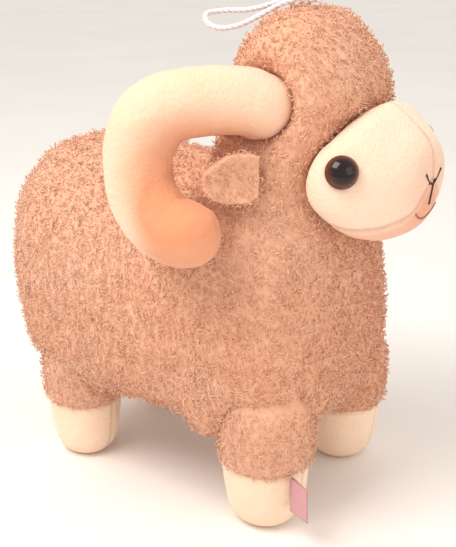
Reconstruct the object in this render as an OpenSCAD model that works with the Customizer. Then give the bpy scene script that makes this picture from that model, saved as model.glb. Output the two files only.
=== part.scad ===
// Plush ram: a stuffed standing toy in short curly fleece, with a smooth face, smooth feet,
// thick curled horns, dome eyes and a cord loop on the crown.
// Millimetres. +X points forward out of the muzzle, +Y to the ram's left, +Z up. It stands on Z = 0.

/* [Trunk] */
// Length of the trunk from rump to chest
trunk_length = 184; // [166:1:216]
// Width of the trunk at its widest
trunk_width = 122; // [108:1:140]
// Height of the trunk from belly to back
trunk_height = 118; // [104:1:134]
// Height of the belly above the ground
belly_height = 40; // [36:1:48]

/* [Head] */
// Length of the skull from nape to forehead
head_length = 66; // [58:1:76]
// Width of the head at the cheeks
head_width = 90; // [80:1:102]
// Height of the head above the back
head_height = 71; // [63:1:82]
// How far the muzzle stands out in front of the chest
muzzle_reach = 25; // [21:1:30]

/* [Horns] */
// Thickness of a horn at its base
horn_diameter = 30; // [25:1:34]
// Thickness of a horn at its tip
horn_tip_diameter = 29; // [24:1:33]
// Size of the curl from front to back, on the horn's middle line
horn_curl_length = 34; // [29:1:40]
// Size of the curl from top to bottom, on the horn's middle line
horn_curl_height = 52; // [46:1:60]
// How far the curl stands out from its root
horn_spread = 39; // [34:1:45]

/* [Legs] */
// Thickness of a front leg
front_leg_diameter = 42; // [35:1:46]
// Thickness of a hind leg
hind_leg_diameter = 39; // [34:1:44]
// Height of the smooth part of a foot
foot_height = 31; // [26:1:34]
// Width of the flat sole under a foot
sole_diameter = 22; // [16:1:26]
// Distance between the left and right front legs
front_stance = 74; // [60:1:78]
// Distance between the left and right hind legs
hind_stance = 68; // [60:1:78]

/* [Ears and tail] */
// Length of an ear
ear_length = 25; // [22:1:28]
// Height of an ear
ear_height = 23; // [20:1:28]
// Thickness of each of an ear's two layers
ear_layer = 2.4; // [1.8:0.1:3]
// Length of the tail
tail_length = 24; // [18:1:30]
// Width of the tail
tail_width = 20; // [14:1:24]

/* [Eyes] */
// Diameter of the dome of an eye
eye_diameter = 13.5; // [12:0.5:18]
// Height of the dome of an eye
eye_dome = 5; // [4:0.5:8]
// Diameter of the ribbed stem behind an eye
eye_stem_diameter = 4; // [3:0.5:5]
// Diameter of the locking washer inside the face
washer_diameter = 14; // [10:1:18]

/* [Cord and label] */
// Diameter of the hanging cord
cord_diameter = 2.4; // [2:0.1:3]
// Height of the sewn-in label along its seam
label_height = 17; // [12:1:20]
// How far the folded label stands out of its seam
label_length = 13; // [10:1:16]

/* [Making] */
// Thickness of the fleece, pile included
fleece = 3.2; // [2.6:0.1:4]
// Thickness of the smooth plush
velour = 2; // [1.6:0.1:2.6]
// Gap between pieces that move on each other
running_gap = 0.6; // [0.5:0.1:0.8]
// Gap between a cover and its filling
filling_gap = 0.8; // [0.7:0.1:1]

/* [Hidden] */
$fn = 48;

// Places along the trunk and the head, as shares of their own sizes
tail_proud = 11;
rump_x = (tail_proud - trunk_length - muzzle_reach) / 2;
nose_x = rump_x + trunk_length + muzzle_reach;
nape_x = rump_x + trunk_length - head_length;
back_z = belly_height + trunk_height;
function trunk_x(share) = rump_x + trunk_length * share;
function trunk_z(share) = belly_height + trunk_height * share;
function head_x(share) = nape_x + head_length * share;
function head_z(share) = back_z + head_height * share;
function muzzle_x(share) = nose_x - muzzle_reach * (1 - share);

// Stations of the fleece body: back point x z, belly or throat point x z, half width,
// squareness of the lower half (less is boxier), how far the sides are set back
body_stations = [
    [trunk_x(0), trunk_z(0.64), trunk_x(0), trunk_z(0.55), 0.04 * trunk_width, 0.9, 0],
    [trunk_x(0.015), trunk_z(0.87), trunk_x(0.015), trunk_z(0.26), 0.27 * trunk_width, 0.8, 0],
    [trunk_x(0.065), trunk_z(0.98), trunk_x(0.07), trunk_z(0.10), 0.39 * trunk_width, 0.65, 0],
    [trunk_x(0.17), trunk_z(1.01), trunk_x(0.17), trunk_z(0.02), 0.47 * trunk_width, 0.5, 0],
    [trunk_x(0.38), trunk_z(0.99), trunk_x(0.41), trunk_z(0.00), 0.50 * trunk_width, 0.55, 0],
    [trunk_x(0.505), trunk_z(0.975), trunk_x(0.66), trunk_z(0.00), 0.50 * trunk_width, 0.52, 0],
    [trunk_x(0.58), trunk_z(0.99), trunk_x(0.88), trunk_z(0.02), 0.50 * trunk_width, 0.5, 0],
    [trunk_x(0.62), trunk_z(1.04), trunk_x(0.96), trunk_z(0.15), 0.47 * trunk_width, 0.65, 0],
    [head_x(-0.03), head_z(0.23), trunk_x(0.965), trunk_z(0.48), 0.43 * trunk_width, 0.85, 0],
    [head_x(0.01), head_z(0.43), head_x(0.90), head_z(-0.28), 0.50 * head_width, 0.9, 0],
    [head_x(0.045), head_z(0.64), head_x(0.97), head_z(0.20), 0.485 * head_width, 0.9, 0],
    [head_x(0.15), head_z(0.85), head_x(0.93), head_z(0.595), 0.43 * head_width, 0.9, 0],
    [head_x(0.32), head_z(0.97), head_x(0.70), head_z(0.90), 0.28 * head_width, 0.9, 0],
    [head_x(0.47), head_z(1.00), head_x(0.59), head_z(0.995), 0.05 * head_width, 0.9, 0],
];
// Stations of the smooth face, the same way, and last the squareness of the upper half
face_stations = [
    [muzzle_x(-0.50), head_z(0.36), muzzle_x(-0.60), head_z(-0.20), 0.38 * head_width, 0.9, 4, 1.0],
    [muzzle_x(0.16), head_z(0.495), muzzle_x(-0.08), head_z(-0.31), 0.485 * head_width, 0.9, 12, 1.1],
    [muzzle_x(0.36), head_z(0.445), muzzle_x(0.24), head_z(-0.335), 0.475 * head_width, 0.9, 8, 1.2],
    [muzzle_x(0.59), head_z(0.385), muzzle_x(0.48), head_z(-0.32), 0.405 * head_width, 0.9, 5, 1.2],
    [muzzle_x(0.81), head_z(0.325), muzzle_x(0.69), head_z(-0.28), 0.30 * head_width, 0.9, 2, 1.15],
    [muzzle_x(0.95), head_z(0.262), muzzle_x(0.85), head_z(-0.22), 0.20 * head_width, 0.9, 0, 1.05],
    [muzzle_x(0.999), head_z(0.190), muzzle_x(0.96), head_z(-0.085), 0.115 * head_width, 0.9, 0, 0.95],
    [muzzle_x(1.01), head_z(0.10), muzzle_x(1.005), head_z(0.03), 0.03 * head_width, 0.9, 0, 0.9],
];
upper_power = 0.88;
body_steps = concat([0, 0.25, 0.5, 0.75], [for (i = [1:0.5:13]) i]);
face_steps = [for (i = [0:0.5:7]) i];

function spline(p0, p1, p2, p3, t) =
    0.5 * (2 * p1 + (p2 - p0) * t + (2 * p0 - 5 * p1 + 4 * p2 - p3) * t * t
        + (3 * p1 - p0 - 3 * p2 + p3) * t * t * t);
function along(list, s) =
    let (last = len(list) - 1, i = max(min(floor(s), last - 1), 0))
    spline(list[max(i - 1, 0)], list[i], list[i + 1], list[min(i + 2, last)], s - i);
function rounded(v, power) = sign(v) * pow(abs(v), power);
function ease(v) = let (t = max(min(v, 1), 0)) t * t * (3 - 2 * t);
function unit(v) = v / norm(v);

// A point on a lofted skin: station s, angle a round the section from its back, depth under the surface
function loft_point(stations, s, a, depth) =
    let (last = len(stations) - 1,
         sunk = depth > 0 ? depth / 7.2 : 0,
         p = along(stations, sunk + s * (last - 2 * sunk) / last),
         half = [(p[0] - p[2]) / 2, (p[1] - p[3]) / 2],
         power = cos(a) > 0 ? (len(p) > 7 ? p[7] : upper_power) : p[5],
         keep = max(1 - depth / norm(half), 0.1),
         wide = max(p[4] - depth, 0.1 * p[4]))
    [(p[0] + p[2]) / 2 + half.x * keep * rounded(cos(a), power) - p[6] * pow(sin(a), 4),
     wide * rounded(sin(a), power),
     (p[1] + p[3]) / 2 + half.y * keep * rounded(cos(a), power)];
face_at = function (s, a, depth) loft_point(face_stations, s, a, depth);
body_at = function (s, a, depth) loft_point(body_stations, s, a, depth);

// Half the angle that the belly gusset and the crown gusset take of a section
seam_gap = 0.3;
function belly_half(s) = seam_gap + 38 * ease(s / 2) * ease((9.4 - s) / 2);
function crown_half(s) = seam_gap + 36 * ease((s - 8.5) / 2);

// A closed panel of one thickness over a surface at(u, v, depth)
module panel(at, us, vs, top, bottom) {
    nu = len(us);
    nv = len(vs);
    layer = nu * nv;
    points = [for (depth = [top, bottom], u = us, v = vs) at(u, v, depth)];
    function corner(i, j) = i * nv + j;
    skin = [for (i = [0:nu - 2], j = [0:nv - 2])
        each let (a = corner(i, j), b = corner(i + 1, j), c = corner(i + 1, j + 1), d = corner(i, j + 1))
            [[a, c, b], [a, d, c], [a + layer, b + layer, c + layer], [a + layer, c + layer, d + layer]]];
    ends = [for (j = [0:nv - 2])
        each let (a = corner(0, j), b = corner(0, j + 1), c = corner(nu - 1, j), d = corner(nu - 1, j + 1))
            [[a, b + layer, b], [a, a + layer, b + layer], [c, d + layer, c + layer], [c, d, d + layer]]];
    sides = [for (i = [0:nu - 2])
        each let (a = corner(i, 0), b = corner(i + 1, 0), c = corner(i, nv - 1), d = corner(i + 1, nv - 1))
            [[a, b + layer, a + layer], [a, b, b + layer], [c, d + layer, d], [c, c + layer, d + layer]]];
    polyhedron(points, concat(skin, ends, sides));
}

// A closed solid inside a surface that goes right round, with a fan at each end
module core(at, us, turns, depth) {
    nu = len(us);
    nv = len(turns);
    rings = [for (u = us) [for (a = turns) at(u, a, depth)]];
    function middle(ring) = [for (k = [0:2]) (ring[0][k] + ring[nv / 2][k]) / 2];
    points = concat([for (ring = rings) each ring], [middle(rings[0]), middle(rings[nu - 1])]);
    skin = [for (i = [0:nu - 2], j = [0:nv - 1])
        each let (k = (j + 1) % nv, a = i * nv + j, b = a + nv, c = (i + 1) * nv + k, d = i * nv + k)
            [[a, c, b], [a, d, c]]];
    fans = [for (j = [0:nv - 1])
        each let (k = (j + 1) % nv)
            [[nu * nv, k, j], [nu * nv + 1, (nu - 1) * nv + j, (nu - 1) * nv + k]]];
    polyhedron(points, concat(skin, fans));
}

// side is -1 on the ram's right and +1 on its left
module mirrored(side) {
    if (side < 0) mirror([0, 1, 0]) children();
    else children();
}

// Hips: the rounded top of a leg turns in a hollow in the body
front_hip = [trunk_x(0.829), front_stance / 2, belly_height + 15];
hind_hip = [trunk_x(0.222), hind_stance / 2, belly_height + 15];
leg_swing = 12;
turns = [for (a = [0:15:345]) a];
// The hollow is widened fore and aft below the hip by the leg's swing, and rounded over its top
module hip_hollow(hip, diameter) {
    radius = (diameter / 2 + running_gap) / cos(8);
    at = function (s, a, depth)
        let (drop = hip.z * max(1 - s, 0), rise = 84 * max(s - 1, 0))
        hip + [radius * cos(a) * cos(rise) + sign(cos(a)) * drop * tan(leg_swing),
               -radius * sin(a) * cos(rise),
               radius * sin(rise) - drop];
    core(at, [0, 1, 1.25, 1.5, 1.7, 1.85, 2], turns, 0);
}
module hip_hollows(side) {
    mirrored(side) {
        hip_hollow(front_hip, front_leg_diameter);
        hip_hollow(hind_hip, hind_leg_diameter);
    }
}

// Horns: the rounded root of a horn turns in a hollow in the head
horn_root = [head_x(0.44), 0.40 * head_width, head_z(0.475)];
horn_line = [for (p = [[0, 0, 0.94], [-0.26, 0.26, 1.0], [-0.50, 0.51, 0.99], [-0.81, 0.75, 0.96],
    [-0.99, 0.89, 0.81],
                       [-1.02, 0.96, 0.57], [-0.95, 1.0, 0.34], [-0.76, 1.01, 0.15], [-0.53, 1.0, 0.04],
                       [-0.29, 0.96, 0.04]])
    horn_root + [p.x * horn_curl_length, p.y * horn_spread, (p.z - 0.94) * horn_curl_height]];
horn_last = len(horn_line) - 1;
horn_steps = concat([0, 0.3, 0.6, 0.8], [for (i = [1:0.5:horn_last + 1]) i],
    [for (t = [0.2, 0.4, 0.6, 0.8, 1]) horn_last + 1 + t]);
// Step 0 to 1 is the rounded root, the last step is the rounded tip, the tube lies between them
function horn_point(s, a, depth) =
    let (t = max(min(s - 1, horn_last), 0),
         along_root = s < 1 ? 85 * (1 - s) : 0,
         along_tip = s > horn_last + 1 ? 85 * (s - 1 - horn_last) : 0,
         ahead = along(horn_line, min(t + 0.05, horn_last)),
         behind = along(horn_line, max(t - 0.05, 0)),
         forward = unit(ahead - behind),
         outward = unit(cross(forward, [0.55, 0.83, 0.1])),
         across = cross(outward, forward),
         radius = (horn_diameter + (horn_tip_diameter - horn_diameter) * t / horn_last) / 2 - depth,
         lean = along_tip - along_root)
    along(horn_line, t) + forward * radius * sin(lean)
        + (outward * cos(a) + across * sin(a)) * radius * cos(lean);
horn_at = function (s, a, depth) horn_point(s, a, depth);
// The hollow follows the horn's root and widens outward by the horn's lean
horn_lean = 8;
module horn_hollow(side) {
    reach = norm(horn_line[1] - horn_line[0]);
    at = function (s, a, depth)
        horn_point(s, a, -running_gap / cos(8) - max(s - 1, 0) * reach * tan(horn_lean));
    mirrored(side) core(at, [0, 0.3, 0.6, 0.8, 1, 2, 3], turns, 0);
}

// Eyes: seat, stem hole and room for the washer
eye_step = 2.05;
eye_angle = 68.5;
eye_place = face_at(eye_step, eye_angle, 0);
eye_way = unit(cross(face_at(eye_step + 0.15, eye_angle, 0) - face_at(eye_step - 0.15, eye_angle, 0),
    face_at(eye_step, eye_angle + 4, 0) - face_at(eye_step, eye_angle - 4, 0)));
eye_sink = 0.9;
module at_eye(side) {
    mirrored(side)
        translate(eye_place)
            rotate([0, acos(eye_way.z), atan2(eye_way.y, eye_way.x)])
                children();
}
module eye_hollow(side) {
    at_eye(side) {
        translate([0, 0, -eye_sink]) cylinder(d = eye_diameter + 0.4, h = 8);
        translate([0, 0, -12]) cylinder(d = eye_stem_diameter + 0.4, h = 12);
    }
}

// Body
module side_panel(side) {
    at = function (s, v, depth) body_at(s,
        side * (crown_half(s) + (180 - belly_half(s) - crown_half(s)) * v), depth);
    color([0.90, 0.63, 0.49])
        difference() {
            panel(at, body_steps, [for (v = [0:1 / 15:1.001]) side > 0 ? v : 1 - v], 0, fleece);
            core(face_at, face_steps, turns, -0.1);
            hip_hollows(side);
            horn_hollow(side);
        }
}
module side_panel_right() side_panel(-1);
module side_panel_left() side_panel(1);
module belly_gusset() {
    at = function (s, v, depth) body_at(s, 180 + belly_half(s) * (1 - seam_gap / 40) * v, depth);
    color([0.88, 0.60, 0.46])
        difference() {
            panel(at, [for (i = body_steps) if (i >= 0.5 && i <= 9) i], [for (v = [-1:0.2:1.001]) v], 0,
                fleece);
            hip_hollows(-1);
            hip_hollows(1);
        }
}
module crown_gusset() {
    at = function (s, v, depth) body_at(s, crown_half(s) * (1 - seam_gap / 40) * v, depth);
    color([0.90, 0.64, 0.50])
        difference() {
            panel(at, [for (i = [9:0.5:13]) i], [for (v = [-1:0.25:1]) v], 0, fleece);
            horn_hollow(-1);
            horn_hollow(1);
        }
}
module body_filling() {
    color([0.95, 0.95, 0.93])
        difference() {
            core(body_at, body_steps, [for (a = [0:12:348]) a], fleece + filling_gap);
            core(face_at, face_steps, turns, -0.2);
            for (side = [-1, 1]) {
                hip_hollows(side);
                horn_hollow(side);
            }
        }
}

// Face
chin_half = 52;
module face_panel(from, to) {
    color([0.98, 0.90, 0.80])
        difference() {
            panel(face_at, face_steps, [for (k = [0:1 / 10:1.001]) from + (to - from) * k], 0, velour);
            for (side = [-1, 1]) eye_hollow(side);
        }
}
module face_right() face_panel(180 + chin_half, 360 - seam_gap);
module face_left() face_panel(seam_gap, 180 - chin_half);
module chin_gusset() {
    color([0.92, 0.74, 0.64])
        panel(face_at, face_steps,
            [for (k = [-1:0.25:1]) 180 + (chin_half - seam_gap) * k], 0, velour);
}
module muzzle_filling() {
    color([0.95, 0.95, 0.93])
        difference() {
            core(face_at, face_steps, turns, velour + filling_gap);
            for (side = [-1, 1])
                at_eye(side) {
                    translate([0, 0, -13]) cylinder(d = eye_stem_diameter + 1, h = 14);
                    translate([0, 0, -7]) cylinder(d = washer_diameter + 1, h = 8);
                }
        }
}
module eye(side) {
    radius = eye_diameter / 2;
    ball = (radius * radius + eye_dome * eye_dome) / (2 * eye_dome);
    color([0.10, 0.05, 0.04])
        at_eye(side)
            rotate_extrude()
                polygon(concat(
                    [[0, -10], [eye_stem_diameter / 2 - 0.4, -10], [eye_stem_diameter / 2, -8],
                     [eye_stem_diameter / 2, -eye_sink + 0.1], [radius, -eye_sink + 0.1], [radius, 0.2]],
                    [for (k = [1:8]) let (a = asin(radius / ball) * (1 - k / 8))
                        [ball * sin(a), 0.2 + ball * cos(a) - (ball - eye_dome)]]));
}
module eye_right() eye(-1);
module eye_left() eye(1);
module eye_washer(side) {
    color([0.85, 0.85, 0.85])
        at_eye(side)
            rotate_extrude()
                polygon([[eye_stem_diameter / 2 + 0.1, -5.8], [washer_diameter / 2, -6],
                         [washer_diameter / 2, -5], [eye_stem_diameter / 2 + 0.1, -4.4]]);
}
module eye_washer_right() eye_washer(-1);
module eye_washer_left() eye_washer(1);

// Embroidered thread along points on the face
thread_diameter = 1.1;
thread_sides = 8;
module thread(points) {
    for (i = [0:len(points) - 2]) {
        step = points[i + 1] - points[i];
        translate(points[i])
            rotate([0, acos(step.z / norm(step)), atan2(step.y, step.x)])
                cylinder(d = thread_diameter, h = norm(step), $fn = thread_sides);
    }
    for (point = points) translate(point) sphere(d = thread_diameter + 0.02, $fn = thread_sides);
}
module nose_stitching() {
    color([0.12, 0.09, 0.09]) {
        thread([for (p = [[6.3, 66], [6.7, 80], [7, 180], [6.7, -80], [6.3, -66]]) face_at(p[0], p[1], 0)]);
        thread([for (p = [7, 6.4, 5.9]) face_at(p, 180, 0)]);
    }
}
module mouth_stitching() {
    color([0.35, 0.12, 0.10])
        thread([for (p = [[5.4, 222], [5.35, 206], [5.3, 192], [5.3, 180], [5.3, 168], [5.35, 154], [5.4,
            138]])
            face_at(p[0], p[1], 0)]);
}

// Horns
module horn_half(side, from, to, tone) {
    color(tone)
        mirrored(side)
            panel(horn_at, horn_steps, [for (k = [0:1 / 6:1.001]) from + (to - from) * k], 0, velour);
}
module horn_front_right() horn_half(-1, seam_gap, 180 - seam_gap, [0.99, 0.90, 0.80]);
module horn_back_right() horn_half(-1, 180 + seam_gap, 360 - seam_gap, [0.98, 0.87, 0.75]);
module horn_front_left() horn_half(1, seam_gap, 180 - seam_gap, [0.99, 0.90, 0.80]);
module horn_back_left() horn_half(1, 180 + seam_gap, 360 - seam_gap, [0.98, 0.87, 0.75]);
module horn_filling(side) {
    color([0.95, 0.95, 0.93])
        mirrored(side)
            core(horn_at, horn_steps, [for (a = [0:30:330]) a], velour + filling_gap);
}
module horn_filling_right() horn_filling(-1);
module horn_filling_left() horn_filling(1);

// Ears: two layers sewn together, standing out and back from the side of the head
ear_root = [head_x(0.545), 0.5 * head_width + 3.2, head_z(0.11)];
ear_heading = 134;
ear_droop = 1.5;
function ear_point(u, v, depth) =
    let (way = [cos(ear_heading), sin(ear_heading), -0.04],
         face = [-sin(ear_heading), cos(ear_heading), 0],
         half = ear_height / 2 * (0.90 + 0.55 * u - 0.72 * u * u) * sqrt(max(1 - pow(u, 3.6), 0.03)),
         cup = 4 * (1 - v * v) * min(3 * u, 1) * (1 - 0.4 * u))
    ear_root + way * ear_length * u + [0, 0, half * v - ear_droop * u] + face * (cup - depth);
ear_at = function (u, v, depth) ear_point(u, v, depth);
module ear(side, top, bottom) {
    color([0.89, 0.61, 0.46])
        mirrored(side)
            panel(ear_at, [0, 0.12, 0.3, 0.5, 0.7, 0.84, 0.93, 1], [for (v = [1:-0.2:-1.001]) v], top,
                bottom);
}
module ear_outer_right() ear(-1, -ear_layer, -0.05);
module ear_inner_right() ear(-1, 0.05, ear_layer);
module ear_outer_left() ear(1, -ear_layer, -0.05);
module ear_inner_left() ear(1, 0.05, ear_layer);

// Legs
module leg_sleeve(hip, diameter, side) {
    radius = diameter / 2;
    color([0.90, 0.64, 0.52])
        translate([hip.x, side * hip.y, 0])
            rotate_extrude()
                polygon(concat(
                    [[radius - 1, foot_height + 0.1], [radius - 0.1, foot_height + 5]],
                    [for (a = [0:9:72]) [radius * cos(a), hip.z + radius * sin(a)]],
                    [for (a = [72:-9:0]) [(radius - fleece) * cos(a), hip.z + (radius - fleece) * sin(a)]],
                    [[radius - fleece, foot_height + 5], [radius - fleece, foot_height + 0.1]]));
}
function foot_line(radius, inset) =
    [for (a = [0:9:90]) [
        sole_diameter / 2 - inset / 2 + (radius - sole_diameter / 2 - inset / 2) * sin(a),
        inset + (foot_height - inset) * (1 - cos(a))]];
module foot(hip, diameter, side) {
    outer = foot_line(diameter / 2 - 1, 0);
    inner = foot_line(diameter / 2 - 1, velour);
    color([0.99, 0.90, 0.79])
        translate([hip.x, side * hip.y, 0])
            rotate_extrude()
                polygon(concat([[0, 0]], outer, [for (i = [10:-1:0]) inner[i]], [[0, velour]]));
}
module leg_filling(hip, diameter, side) {
    inner = foot_line(diameter / 2 - 1, velour + filling_gap);
    radius = diameter / 2 - fleece - filling_gap;
    color([0.95, 0.95, 0.93])
        translate([hip.x, side * hip.y, 0])
            rotate_extrude()
                polygon(concat([[0, velour + filling_gap]], [for (i = [0:9]) inner[i]],
                    [[radius, foot_height + 0.5]],
                    [for (a = [0:9:90]) [radius * cos(a), hip.z + radius * sin(a)]]));
}
module front_leg_sleeve_right() leg_sleeve(front_hip, front_leg_diameter, -1);
module front_leg_sleeve_left() leg_sleeve(front_hip, front_leg_diameter, 1);
module hind_leg_sleeve_right() leg_sleeve(hind_hip, hind_leg_diameter, -1);
module hind_leg_sleeve_left() leg_sleeve(hind_hip, hind_leg_diameter, 1);
module front_foot_right() foot(front_hip, front_leg_diameter, -1);
module front_foot_left() foot(front_hip, front_leg_diameter, 1);
module hind_foot_right() foot(hind_hip, hind_leg_diameter, -1);
module hind_foot_left() foot(hind_hip, hind_leg_diameter, 1);
module front_leg_filling_right() leg_filling(front_hip, front_leg_diameter, -1);
module front_leg_filling_left() leg_filling(front_hip, front_leg_diameter, 1);
module hind_leg_filling_right() leg_filling(hind_hip, hind_leg_diameter, -1);
module hind_leg_filling_left() leg_filling(hind_hip, hind_leg_diameter, 1);

// Tail
tail_root = [rump_x, trunk_z(0.66)];
module tail() {
    tail_at = function (u, v, depth)
        let (grow = sin(20 + 70 * min(u * 1.6, 1)) * sqrt(max(1 - pow(u, 4), 0.04)),
             middle = [tail_root[0] - 2.3 - 6.2 * sin(90 * u), 0, tail_root[1] + 2 - tail_length * u * 0.92],
             lean = 14)
        middle + [cos(v) * 4.4 * grow, sin(v) * tail_width / 2 * grow, 0];
    color([0.90, 0.66, 0.53]) core(tail_at, [0, 0.15, 0.35, 0.6, 0.8, 0.93, 1], [for (a = [0:20:340]) a], 0);
}

// Cord loop: out of the knot on the crown, back over the head and round again
knot_place = [head_x(0.49), 0, head_z(1.0) + 2.6];
cord_route = [
    [-3, -1, 0], [-7, -3, -0.5], [-13, -8, -3], [-19, -13, -7], [-26, -18, -11], [-33, -21, -12.5], [-38,
        -22.5, -11.5],
    [-41, -22, -9], [-42, -19, -7], [-40, -15, -6.5], [-36, -12, -6], [-31, -9, -6], [-25, -6, -5], [-19,
        -3, -3],
    [-13, -1, -1], [-7, 1, 0], [-3, 1, 0],
];
cord_points = [for (p = cord_route) knot_place + p];
module hang_cord() {
    count = 3 * (len(cord_points) - 1);
    sides = 8;
    centres = [for (i = [0:count]) along(cord_points, i / 3)];
    rings = [for (i = [0:count])
        let (way = unit(centres[min(i + 1, count)] - centres[max(i - 1, 0)]),
             across = unit(cross(way, [0, 0, 1])),
             up = cross(across, way))
        [for (k = [0:sides - 1])
            centres[i] + (across * cos(360 * k / sides) + up * sin(360 * k / sides)) * cord_diameter / 2]];
    points = [for (ring = rings) each ring];
    walls = [for (i = [0:count - 1], k = [0:sides - 1])
        each let (n = (k + 1) % sides, a = i * sides + k, b = i * sides + n, c = (i + 1) * sides + n,
            d = (i + 1) * sides + k)
            [[a, c, d], [a, b, c]]];
    caps = [[for (k = [sides - 1:-1:0]) k], [for (k = [0:sides - 1]) count * sides + k]];
    color([0.93, 0.93, 0.95]) polyhedron(points, concat(walls, caps));
}
module cord_knot() {
    color([0.90, 0.90, 0.93]) translate(knot_place + [0.8, 0, 0]) sphere(d = 6.4);
}

// Label folded into the front seam of the right front foot
label_thickness = 1.2;
label_seam = front_leg_diameter / 2 - 1;
label_turn = -25;
module care_label() {
    color([0.80, 0.66, 0.70])
        translate([front_hip.x, -front_hip.y, foot_height - label_height])
            rotate([0, 0, label_turn])
                translate([label_seam + 0.4 + label_thickness / 2, 0, 0])
                    linear_extrude(label_height) {
                        translate([0, -label_thickness / 2]) square([label_length - label_thickness,
                            label_thickness]);
                        circle(d = label_thickness);
                        translate([label_length - label_thickness, 0]) circle(d = label_thickness);
                    }
}

side_panel_right();
side_panel_left();
belly_gusset();
crown_gusset();
body_filling();
face_right();
face_left();
chin_gusset();
muzzle_filling();
eye_right();
eye_left();
eye_washer_right();
eye_washer_left();
nose_stitching();
mouth_stitching();
horn_front_right();
horn_back_right();
horn_filling_right();
horn_front_left();
horn_back_left();
horn_filling_left();
ear_outer_right();
ear_inner_right();
ear_outer_left();
ear_inner_left();
front_leg_sleeve_right();
front_foot_right();
front_leg_filling_right();
front_leg_sleeve_left();
front_foot_left();
front_leg_filling_left();
hind_leg_sleeve_right();
hind_foot_right();
hind_leg_filling_right();
hind_leg_sleeve_left();
hind_foot_left();
hind_leg_filling_left();
tail();
cord_knot();
hang_cord();
care_label();
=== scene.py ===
import math

import bmesh
import bpy
import numpy as np
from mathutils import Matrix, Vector, noise
from mathutils.bvhtree import BVHTree


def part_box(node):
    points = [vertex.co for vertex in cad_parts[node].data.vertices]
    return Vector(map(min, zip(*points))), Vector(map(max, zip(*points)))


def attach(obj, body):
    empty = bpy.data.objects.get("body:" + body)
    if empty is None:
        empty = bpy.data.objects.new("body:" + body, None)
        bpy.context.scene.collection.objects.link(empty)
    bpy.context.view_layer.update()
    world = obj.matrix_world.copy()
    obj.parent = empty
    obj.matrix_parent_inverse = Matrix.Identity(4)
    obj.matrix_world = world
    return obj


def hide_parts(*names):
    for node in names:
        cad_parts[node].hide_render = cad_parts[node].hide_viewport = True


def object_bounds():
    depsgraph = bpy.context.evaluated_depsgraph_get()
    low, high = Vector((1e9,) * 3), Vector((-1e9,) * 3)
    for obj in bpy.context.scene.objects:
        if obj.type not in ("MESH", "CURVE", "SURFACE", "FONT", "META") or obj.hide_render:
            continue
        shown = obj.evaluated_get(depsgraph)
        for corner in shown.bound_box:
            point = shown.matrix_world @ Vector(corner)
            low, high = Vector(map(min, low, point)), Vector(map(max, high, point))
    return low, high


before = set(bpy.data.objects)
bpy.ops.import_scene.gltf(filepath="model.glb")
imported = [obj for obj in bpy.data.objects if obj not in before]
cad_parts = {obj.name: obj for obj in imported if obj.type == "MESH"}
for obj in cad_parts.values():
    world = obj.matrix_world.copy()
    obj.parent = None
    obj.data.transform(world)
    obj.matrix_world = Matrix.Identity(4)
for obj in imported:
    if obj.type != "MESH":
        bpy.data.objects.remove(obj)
cad_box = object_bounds()


# Studio -------------------------------------------------------------------------------------
# A pale sheet of card under the toy, a large warm lamp high on the left, a weaker one on the
# right and an even pale sky. The camera stands to the right of the ram's nose, a little above it.
look_at = Vector((0.008, 0.0, 0.0997))
camera_turn = math.radians(33.7)
camera_rise = math.radians(20.3)
camera_distance = 0.483
camera_lens = 65.3


class Value:
    """One output of a node. Python's operators on it add Math nodes to its tree."""

    def __init__(self, tree, socket):
        self.tree = tree
        self.socket = socket

    def math(self, operation, *inputs):
        return self.tree.node("ShaderNodeMath", dict(enumerate(inputs)), operation=operation)

    def __add__(self, other):
        return self.math("ADD", self, other)

    __radd__ = __add__

    def __sub__(self, other):
        return self.math("SUBTRACT", self, other)

    def __rsub__(self, other):
        return self.math("SUBTRACT", other, self)

    def __mul__(self, other):
        return self.math("MULTIPLY", self, other)

    __rmul__ = __mul__

    def __pow__(self, other):
        return self.math("POWER", self, other)


class Tree:
    """A node tree that is built one call at a time."""

    def __init__(self, tree):
        self.tree = tree

    def node(self, kind, sockets=None, output=0, stops=None, **settings):
        made = self.tree.nodes.new(kind)
        for name, value in settings.items():
            setattr(made, name, value)
        if stops:
            while len(made.color_ramp.elements) < len(stops):
                made.color_ramp.elements.new(1.0)
            for element, (place, colour) in zip(made.color_ramp.elements, stops):
                element.position = place
                element.color = colour
        for name, value in (sockets or {}).items():
            if isinstance(value, Value):
                self.tree.links.new(value.socket, made.inputs[name])
            else:
                made.inputs[name].default_value = value
        return Value(self, made.outputs[output])


def tone(red, green, blue):
    """A colour as the eye reads it, from 0 to 255, as the shader's linear light."""
    shares = [part / 255 for part in (red, green, blue)]
    return tuple(s / 12.92 if s <= 0.04045 else ((s + 0.055) / 1.055) ** 2.4 for s in shares) + (1.0,)


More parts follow.
